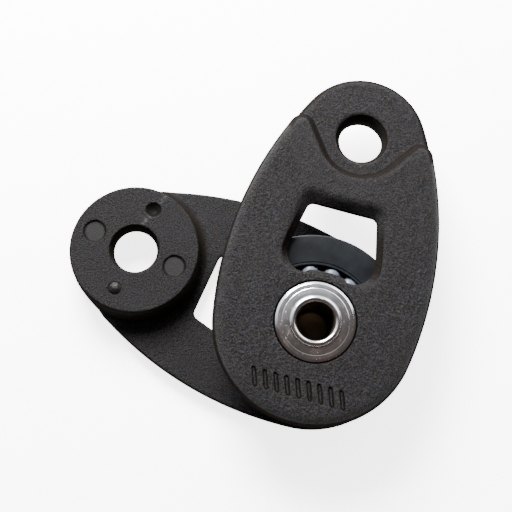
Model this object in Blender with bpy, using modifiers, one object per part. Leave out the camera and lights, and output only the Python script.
"""Opening single sheave block: two identical moulded cheeks on one rivet, a ball-bearing sheave between them.

Frame: the rivet's axis is Z, the rear cheek lies on Z = 0 with its head towards +Y, and the front cheek is
swung open about the rivet. Every length below is in millimetres and every angle in degrees.
"""

import math

import bmesh
import bpy
from mathutils import Euler

MM = 0.001

# Driving dimensions
SHEAVE_R = 19.5          # sheave rim radius
SHEAVE_W = 9.2           # sheave width
SIDE_GAP = 0.3           # sheave face to cheek
CHEEK_T = 3.0            # cheek plate thickness
HEAD_STEP = 2.2          # head's outer face below the plate's outer face
EYE_Y = 42.3             # rivet axis to eye axis
EYE_R = 5.0
BOSS_R = 14.2            # head boss radius
HEAD_R = 14.45           # head outline radius
TAIL_R = 21.5            # plate radius round the rivet
FLANK_R = 79.3           # long flank arc
OPEN_ANGLE = 81.0        # front cheek from its closed place, at rest
CHEEK_FLOAT = 0.6        # front cheek's slack along the rivet
BOSS_GAP = 0.075         # boss face short of the middle plane
BALL_R = 2.0
BALLS_IN_ROW = 16
BALL_PITCH_R = 11.6
ROW_OFFSET = 2.5         # ball row from the middle plane
FRONT_ROW_PHASE = -86.5  # first front ball, anticlockwise from +Y
BALL_WOBBLE = 0.6        # loose balls: alternate ones stand this far off their even places, in degrees
PIN_R = 5.0
PIN_BORE_R = 4.0
PIN_FLOOR_Z = 4.3        # bottom of the rivet's hollow
RUNNING = 0.12           # radial clearance on the pin
BALL_SLACK = 0.05        # ball to each track
FIT = 0.05               # between pieces that are pressed together
RIB_HALF = 0.4           # half the width of the rib between two ball tracks

# Worked out
MIDDLE_Z = CHEEK_T + SIDE_GAP + SHEAVE_W / 2
CLOSED_H = 2 * MIDDLE_Z
REST_H = CLOSED_H + CHEEK_FLOAT
BOSS_Z = MIDDLE_Z - BOSS_GAP
HOLE_R = PIN_R + RUNNING
SEAT_R = 8.65            # washer seat in the cheek
SEAT_DEPTH = 1.3
RIVET_R = 8.4            # washer and rivet head radius
WASHER_Z = REST_H - SEAT_DEPTH + FIT
WASHER_T = 1.6

# Cheek details
RIM_ROUND = 2.2          # outer edge rounding of the plate
INNER_ROUND = 0.8
HEAD_ROUND = 1.8
HORN_Y = 41.3
HORN_R = 2.9
VALLEY_R = 8.5           # foot of the step round the eye
FOOT_R = 2.6             # fillet round the boss's foot
DETENT_X = 9.7           # bump and dimple from the eye axis
BUMP_H = 0.6
BUMP_R = 1.5
DIMPLE_DEPTH = 0.75
DIMPLE_R = 1.65
EJECTOR_R = 2.3
EJECTOR_DEPTH = 0.2
EJECTOR_Y = 9.6
SEGMENTS = 48
PAST = 1.0               # how far a cutter runs past the face it enters

scene = bpy.context.scene


def clear_scene():
    for obj in list(bpy.data.objects):
        bpy.data.objects.remove(obj)


def collection(name):
    made = bpy.data.collections.new(name)
    scene.collection.children.link(made)
    return made


def material(name, colour, roughness, metallic=0.0):
    made = bpy.data.materials.new(name)
    made.use_nodes = True
    shader = made.node_tree.nodes["Principled BSDF"]
    shader.inputs["Base Color"].default_value = (*colour, 1)
    shader.inputs["Roughness"].default_value = roughness
    shader.inputs["Metallic"].default_value = metallic
    made.diffuse_color = (*colour, 1)
    return made


def place(name, mesh, group, finish=None, location=(0, 0, 0), rotation=(0, 0, 0)):
    """An object of this mesh, placed in millimetres and degrees."""
    obj = bpy.data.objects.new(name, mesh)
    group.objects.link(obj)
    obj.location = [v * MM for v in location]
    obj.rotation_euler = Euler([math.radians(v) for v in rotation])
    if finish and not mesh.materials:
        mesh.materials.append(finish)
    return obj


def as_cutter(obj):
    obj.hide_render = True
    obj.display_type = "WIRE"
    return obj


def baked(obj):
    """The object's evaluated mesh, with its modifiers applied."""
    bpy.context.view_layer.update()
    graph = bpy.context.evaluated_depsgraph_get()
    return bpy.data.meshes.new_from_object(obj.evaluated_get(graph))


def add_boolean(obj, operation, other):
    modifier = obj.modifiers.new(f"{operation.lower()} {other.name}", "BOOLEAN")
    modifier.operation = operation
    modifier.object = other
    modifier.solver = "EXACT"


def smooth(mesh, angle=35):
    mesh.shade_smooth()
    mesh.set_sharp_from_angle(angle=math.radians(angle))


# Outlines, as lists of (x, y) running anticlockwise

def arc(centre, radius, start, end, steps):
    """Points along an arc, both ends included; start and end in radians."""
    return [
        (
            centre[0] + radius * math.cos(start + (end - start) * i / steps),
            centre[1] + radius * math.sin(start + (end - start) * i / steps),
        )
        for i in range(steps + 1)
    ]


def mirrored(points):
    return [(-x, y) for x, y in reversed(points)]


def joined(*runs):
    """The runs end to end, without their doubled points."""
    points = []
    for run in runs:
        for p in run:
            if not points or math.dist(points[-1], p) > 1e-4:
                points.append(p)
    if math.dist(points[0], points[-1]) < 1e-4:
        points.pop()
    return points


def flank_centre():
    """Centre of the right flank's arc, which is tangent to the tail circle and the head circle inside it."""
    to_tail, to_head = FLANK_R - TAIL_R, FLANK_R - HEAD_R
    y = (EYE_Y**2 - to_head**2 + to_tail**2) / (2 * EYE_Y)
    return -math.sqrt(to_tail**2 - y**2), y


def flank(top_circle_y, top_circle_r):
    """The tail's right half, then the right flank up to where a circle inside it touches it."""
    cx, cy = flank_centre()
    tail_angle = math.atan2(-cy, -cx)
    touch_x = math.sqrt((FLANK_R - top_circle_r) ** 2 - (top_circle_y - cy) ** 2) + cx
    top_angle = math.atan2(top_circle_y - cy, touch_x - cx)
    tail = arc((0, 0), TAIL_R, -math.pi / 2, tail_angle, 14)
    side = arc((cx, cy), FLANK_R, tail_angle, top_angle, 9)
    return tail, side, top_angle, touch_x


def egg_outline():
    """The whole cheek seen along the rivet."""
    tail, side, top_angle, _ = flank(EYE_Y, HEAD_R)
    head = arc((0, EYE_Y), HEAD_R, top_angle, math.pi / 2, 10)
    half = joined(tail, side, head)
    return joined(half, mirrored(half))


def plateau_outline():
    """The thick part of the plate: the egg with a rounded valley round the eye, between two horns."""
    tail, side, top_angle, horn_x = flank(HORN_Y, HORN_R)
    dx, dy = horn_x, HORN_Y - EYE_Y
    across = math.hypot(dx, dy)
    lean = math.acos((VALLEY_R + HORN_R) / across)
    line = math.atan2(dy, dx)
    horn_end = line + math.pi - lean
    horn = arc((horn_x, HORN_Y), HORN_R, top_angle, horn_end, 8)
    valley = arc((0, EYE_Y), VALLEY_R, line - lean, -math.pi / 2, 8)
    half = joined(tail, side, horn, valley)
    return joined(half, mirrored(half))


def rounded_outline(corners):
    """A closed outline from (x, y, radius, steps) corners; steps 0 keeps the corner as one point."""
    points = []
    for i, (x, y, radius, steps) in enumerate(corners):
        if not steps:
            points.append((x, y))
            continue
        ax, ay = corners[i - 1][:2]
        bx, by = corners[(i + 1) % len(corners)][:2]
        from_a = math.atan2(ay - y, ax - x)
        to_b = math.atan2(by - y, bx - x)
        opening = (from_a - to_b) % (2 * math.pi)
        middle = to_b + opening / 2
        centre_d = radius / math.sin(opening / 2)
        centre = (x + centre_d * math.cos(middle), y + centre_d * math.sin(middle))
        turn = math.pi - opening
        start = middle + math.pi - turn / 2
        points += arc(centre, radius, start, start + turn, steps)
    return points


def window_outline(top, top_half, low_half, low, low_rise, top_dip, round_top, round_low):
    """The window's section: narrower towards the eye, its two ends bowed round the eye and round the washer."""
    bow = (-0.55, -0.3, 0, 0.3, 0.55)
    bottom = [(low_half * s, low + low_rise * (1 - (s / 0.75) ** 2), 0, 0) for s in bow]
    ceiling = [(-top_half * s, top - top_dip * (1 - (s / 0.75) ** 2), 0, 0) for s in bow]
    return rounded_outline(
        [(-low_half, low, round_low, 5), *bottom, (low_half, low, round_low, 5),
         (top_half, top, round_top, 5), *ceiling, (-top_half, top, round_top, 5)]
    )


# Solids from outlines and profiles

def prism(name, outline, low, high, group, low_round=0.0, high_round=0.0):
    """The outline extruded from Z low to high, with its two rims rounded."""
    mesh = bpy.data.meshes.new(name)
    bm = bmesh.new()
    face = bm.faces.new([bm.verts.new((x * MM, y * MM, low * MM)) for x, y in outline])
    face.normal_flip()
    raised = bmesh.ops.extrude_face_region(bm, geom=[face])["geom"]
    up = [v for v in raised if isinstance(v, bmesh.types.BMVert)]
    bmesh.ops.translate(bm, verts=up, vec=(0, 0, (high - low) * MM))
    bmesh.ops.recalc_face_normals(bm, faces=bm.faces)
    widest = max(low_round, high_round)
    if widest:
        weights = bm.edges.layers.float.new("bevel_weight_edge")
        for edge in bm.edges:
            heights = {round(v.co.z / MM, 3) for v in edge.verts}
            if heights == {round(low, 3)}:
                edge[weights] = low_round / widest
            elif heights == {round(high, 3)}:
                edge[weights] = high_round / widest
    bm.to_mesh(mesh)
    bm.free()
    obj = place(name, mesh, group)
    if widest:
        bevel = obj.modifiers.new("rounded rims", "BEVEL")
        bevel.limit_method = "WEIGHT"
        bevel.width = widest * MM
        bevel.segments = 3
    return obj


def turned(name, profile, group, segments=SEGMENTS, smooth_angle=35):
    """A solid of revolution about Z from an (r, z) profile that runs down its outer side."""
    mesh = bpy.data.meshes.new(name)
    closed = min(r for r, _ in profile) > 1e-6
    count = len(profile)
    edges = [(i, i + 1) for i in range(count - 1)]
    if closed:
        edges.append((count - 1, 0))
    mesh.from_pydata([(r * MM, 0, z * MM) for r, z in profile], edges, [])
    guide = place(name + "_profile", mesh, group)
    screw = guide.modifiers.new("turn", "SCREW")
    screw.steps = screw.render_steps = segments
    screw.use_merge_vertices = True
    screw.merge_threshold = 0.00001
    solid = baked(guide)
    bpy.data.objects.remove(guide)
    solid.name = name
    smooth(solid, smooth_angle)
    return solid


def lofted(name, sections, group):
    """A closed solid through (z, outline) sections that all have the same number of points."""
    mesh = bpy.data.meshes.new(name)
    bm = bmesh.new()
    rings = [[bm.verts.new((x * MM, y * MM, z * MM)) for x, y in outline] for z, outline in sections]
    count = len(rings[0])
    for low, high in zip(rings, rings[1:]):
        for i in range(count):
            j = (i + 1) % count
            bm.faces.new((low[i], low[j], high[j], high[i]))
    bm.faces.new(list(reversed(rings[0])))
    bm.faces.new(rings[-1])
    bmesh.ops.recalc_face_normals(bm, faces=bm.faces)
    bm.to_mesh(mesh)
    bm.free()
    return place(name, mesh, group)


# The cheek, in its own frame: outer face at Z = 0, inner side up, eye towards +Y

def boss_profile():
    """The head boss with a chamfered rim and a filleted foot, running down the outer side."""
    chamfer, sunk, root = 0.3, 0.1, 1.0
    foot = [
        (BOSS_R + FOOT_R * (1 - math.cos(a)), CHEEK_T - sunk + FOOT_R * (1 - math.sin(a)))
        for a in (math.radians(15 * i) for i in range(7))
    ]
    return [
        (0, BOSS_Z), (BOSS_R - chamfer, BOSS_Z), (BOSS_R, BOSS_Z - chamfer), *foot,
        (BOSS_R + FOOT_R, root), (0, root),
    ]


def eye_profile():
    """The eye's cutter: a bore with a wide rounded outer mouth, opening a little towards the boss face."""
    mouth_wide, mouth_deep = 1.15, 1.3
    bend = [
        (EYE_R + mouth_wide * (1 - math.sin(a)), HEAD_STEP + mouth_deep * (1 - math.cos(a)))
        for a in (math.radians(18 * i) for i in range(5, -1, -1))
    ]
    inner = 0.3
    top = BOSS_Z + 2 * PAST
    return [
        (0, top), (EYE_R + 2 * inner, top), (EYE_R + 2 * inner, BOSS_Z + inner), (EYE_R + inner / 2, BOSS_Z - inner),
        *bend, (EYE_R + mouth_wide, -PAST), (0, -PAST),
    ]


def seat_profile():
    """The rivet's hole and the washer seat."""
    top = CHEEK_T + 2 * PAST
    return [(0, top), (HOLE_R, top), (HOLE_R, SEAT_DEPTH), (SEAT_R, SEAT_DEPTH), (SEAT_R, -PAST), (0, -PAST)]


def dimple_profile():
    ball = (DIMPLE_R**2 + DIMPLE_DEPTH**2) / (2 * DIMPLE_DEPTH)
    top = math.asin(DIMPLE_R / ball)
    bowl = [(ball * math.sin(top * s), ball - ball * math.cos(top * s)) for s in (1, 0.75, 0.5, 0.25, 0)]
    return [(0, DIMPLE_DEPTH + PAST), (DIMPLE_R, DIMPLE_DEPTH + PAST), *bowl]


def bump_profile():
    ball = (BUMP_R**2 + BUMP_H**2) / (2 * BUMP_H)
    top = math.asin(BUMP_R / ball)
    dome = [(ball * math.sin(top * s), ball * math.cos(top * s) - ball + BUMP_H) for s in (0, 0.25, 0.5, 0.75, 1)]
    return [*dome, (BUMP_R, -PAST), (0, -PAST)]


def window_sections():
    """The window, straight through the inner half of the plate and flared towards the outer face."""
    inner = dict(top=24.9, top_half=7.35, low_half=10.4, low=10.0, low_rise=1.35, top_dip=0.0,
                 round_top=1.3, round_low=3.2)
    flare = dict(top=3.0, top_half=1.3, low_half=0.3, low=-0.8, low_rise=-0.75, top_dip=0.6,
                 round_top=1.3, round_low=0.0)
    shares = [(-PAST, 1.25), (0.0, 1.0), (0.5, 0.55), (1.1, 0.22), (1.9, 0.0), (CHEEK_T + PAST, 0.0)]
    return [
        (z, window_outline(**{part: inner[part] + flare[part] * share for part in inner}))
        for z, share in shares
    ]


def cheek_mesh(helpers):
    plate = prism("plate", plateau_outline(), 0, CHEEK_T, helpers, RIM_ROUND, INNER_ROUND)
    boss = place("boss", turned("boss", boss_profile(), helpers, 48), helpers, location=(0, EYE_Y, 0))
    limit = prism("head_limit", egg_outline(), HEAD_STEP, BOSS_Z + 4 * PAST, helpers, HEAD_ROUND, 0)
    add_boolean(boss, "INTERSECT", limit)
    window = lofted("window_cutter", window_sections(), helpers)
    eye = place("eye_cutter", turned("eye_cutter", eye_profile(), helpers, 36), helpers, location=(0, EYE_Y, 0))
    seat = place("seat_cutter", turned("seat_cutter", seat_profile(), helpers), helpers)
    bump = place("bump", turned("bump", bump_profile(), helpers, 16), helpers,
                 location=(-DETENT_X, EYE_Y, BOSS_Z))
    dimple = place("dimple_cutter", turned("dimple_cutter", dimple_profile(), helpers, 16), helpers,
                   location=(DETENT_X, EYE_Y, BOSS_Z - DIMPLE_DEPTH))
    ejector_disc = [(0, PAST), (EJECTOR_R, PAST), (EJECTOR_R, 0), (0, 0)]
    ejector = turned("ejector_cutter", ejector_disc, helpers, 20)
    ejectors = [
        place(f"ejector_cutter_{i}", ejector, helpers, location=(0, EYE_Y + side * EJECTOR_Y, BOSS_Z - EJECTOR_DEPTH))
        for i, side in enumerate((-1, 1))
    ]
    add_boolean(plate, "UNION", boss)
    add_boolean(plate, "UNION", bump)
    for cutter in (window, eye, seat, dimple, *ejectors):
        add_boolean(plate, "DIFFERENCE", cutter)
    for helper in (plate, boss, limit, window, eye, seat, bump, dimple, *ejectors):
        as_cutter(helper)
    mesh = baked(plate)
    bm = bmesh.new()
    bm.from_mesh(mesh)
    bmesh.ops.remove_doubles(bm, verts=bm.verts, dist=0.000002)
    bm.to_mesh(mesh)
    bm.free()
    mesh.name = "cheek"
    smooth(mesh)
    for helper in (plate, boss):
        helper.modifiers.clear()
    return mesh


# Turned pieces, in the block's frame

def sheave_profile():
    """Rim, rope groove and the bore with its two ball tracks, each behind a small lip, about the middle plane."""
    half = SHEAVE_W / 2
    flange, flat, edge = 0.75, 0.1, 0.35
    groove_r = half - flange
    groove_centre = SHEAVE_R - 0.25
    track = BALL_PITCH_R + BALL_R + BALL_SLACK
    rib, lip = track - 1.0, track - 0.75
    chamfer = 0.15
    groove = [
        (groove_centre - groove_r * math.cos(math.radians(a)), groove_r * math.sin(math.radians(a)))
        for a in range(90, -91, -20)
    ]
    outside = [(SHEAVE_R - edge, half), (SHEAVE_R, half - edge), (SHEAVE_R, groove_r + flat), *groove,
               (SHEAVE_R, -groove_r - flat), (SHEAVE_R, edge - half), (SHEAVE_R - edge, -half)]
    track_side = [(track, RIB_HALF), (track, half - 1.0), (lip, half - 3 * chamfer), (lip, half - chamfer),
                  (lip + chamfer, half)]
    bore = [(r, -z) for r, z in reversed(track_side)] + [(rib, -RIB_HALF), (rib, RIB_HALF)] + track_side
    return [(r, z + MIDDLE_Z) for r, z in outside + bore]


def race_profile():
    """The fixed inner race, clamped between the cheeks' hubs."""
    track = BALL_PITCH_R - BALL_R - BALL_SLACK
    rib, chamfer, clear = track + 0.9, 0.3, 0.03
    top, bottom = CLOSED_H - CHEEK_T - clear, CHEEK_T + clear
    return [
        (track - chamfer, top), (track, top - chamfer), (track, MIDDLE_Z + RIB_HALF), (rib, MIDDLE_Z + RIB_HALF),
        (rib, MIDDLE_Z - RIB_HALF), (track, MIDDLE_Z - RIB_HALF), (track, bottom + chamfer),
        (track - chamfer, bottom), (HOLE_R, bottom), (HOLE_R, top),
    ]


def pin_profile():
    """The rivet: a flush flat head, a shank that is hollow from the front, and a rolled lip over the washer."""
    seat, head = WASHER_Z + WASHER_T + FIT, SEAT_DEPTH - FIT
    corner, top_edge, low_edge = 0.5, 0.2, 0.3
    lip = [(PIN_BORE_R, seat + 0.1), (4.1, seat + 0.45), (4.4, seat + 0.65), (4.75, seat + 0.7),
           (5.15, seat + 0.6), (5.4, seat + 0.35), (5.4, seat + 0.1), (5.3, seat)]
    return [
        (0, PIN_FLOOR_Z), (PIN_BORE_R - corner, PIN_FLOOR_Z), (PIN_BORE_R, PIN_FLOOR_Z + corner), *lip,
        (PIN_R, seat), (PIN_R, head), (RIVET_R - top_edge, head),
        (RIVET_R, head - top_edge), (RIVET_R, low_edge), (RIVET_R - low_edge, 0), (0, 0),
    ]


def washer_profile():
    """The front washer: rounded outer rim and a shallow turned ring in its face."""
    low, high = WASHER_Z, WASHER_Z + WASHER_T
    low_edge = 0.15
    ring = [(6.85, high), (7.05, high - 0.18), (7.45, high - 0.12)]
    rim = [(RIVET_R - 0.45, high), (RIVET_R - 0.12, high - 0.15), (RIVET_R, high - 0.5)]
    return [(HOLE_R, high), *ring, *rim, (RIVET_R, low + low_edge), (RIVET_R - low_edge, low), (HOLE_R, low)]


def ball_mesh():
    mesh = bpy.data.meshes.new("ball")
    bm = bmesh.new()
    bmesh.ops.create_icosphere(bm, subdivisions=2, radius=BALL_R * MM)
    bm.to_mesh(mesh)
    bm.free()
    smooth(mesh, 80)
    return mesh


def add_ball_row(name, z, phase, mesh, group, finish):
    """One ring of balls; phase is the first ball's angle from +Y."""
    for i in range(BALLS_IN_ROW):
        angle = math.radians(phase + 360 * i / BALLS_IN_ROW - BALL_WOBBLE * (-1) ** i)
        spot = (-BALL_PITCH_R * math.sin(angle), BALL_PITCH_R * math.cos(angle), z)
        place(f"{name}_{i + 1:02d}", mesh, group, finish, spot)


def build():
    clear_scene()
    block = collection("single_sheave_block")
    helpers = collection("cutters")
    nylon = material("moulded_nylon", (0.060, 0.057, 0.058), 0.62)
    acetal = material("sheave_acetal", (0.040, 0.044, 0.052), 0.38)
    steel = material("stainless_steel", (0.62, 0.60, 0.58), 0.28, 1.0)
    race_steel = material("race_steel", (0.30, 0.30, 0.31), 0.35, 1.0)
    ball_white = material("ball_acetal", (0.72, 0.75, 0.80), 0.35)

    cheek = cheek_mesh(helpers)
    place("rear_cheek", cheek, block, nylon)
    place("front_cheek", cheek, block, nylon, (0, 0, REST_H), (0, 180, -OPEN_ANGLE))
    place("sheave", turned("sheave", sheave_profile(), helpers, 56), block, acetal)
    place("inner_race", turned("inner_race", race_profile(), helpers), block, race_steel)
    place("axle_rivet", turned("axle_rivet", pin_profile(), helpers), block, steel)
    place("front_washer", turned("front_washer", washer_profile(), helpers), block, steel)
    ball = ball_mesh()
    add_ball_row("front_ball", MIDDLE_Z + ROW_OFFSET, FRONT_ROW_PHASE, ball, block, ball_white)
    half_pitch = 180 / BALLS_IN_ROW
    add_ball_row("rear_ball", MIDDLE_Z - ROW_OFFSET, FRONT_ROW_PHASE + half_pitch, ball, block, ball_white)


build()
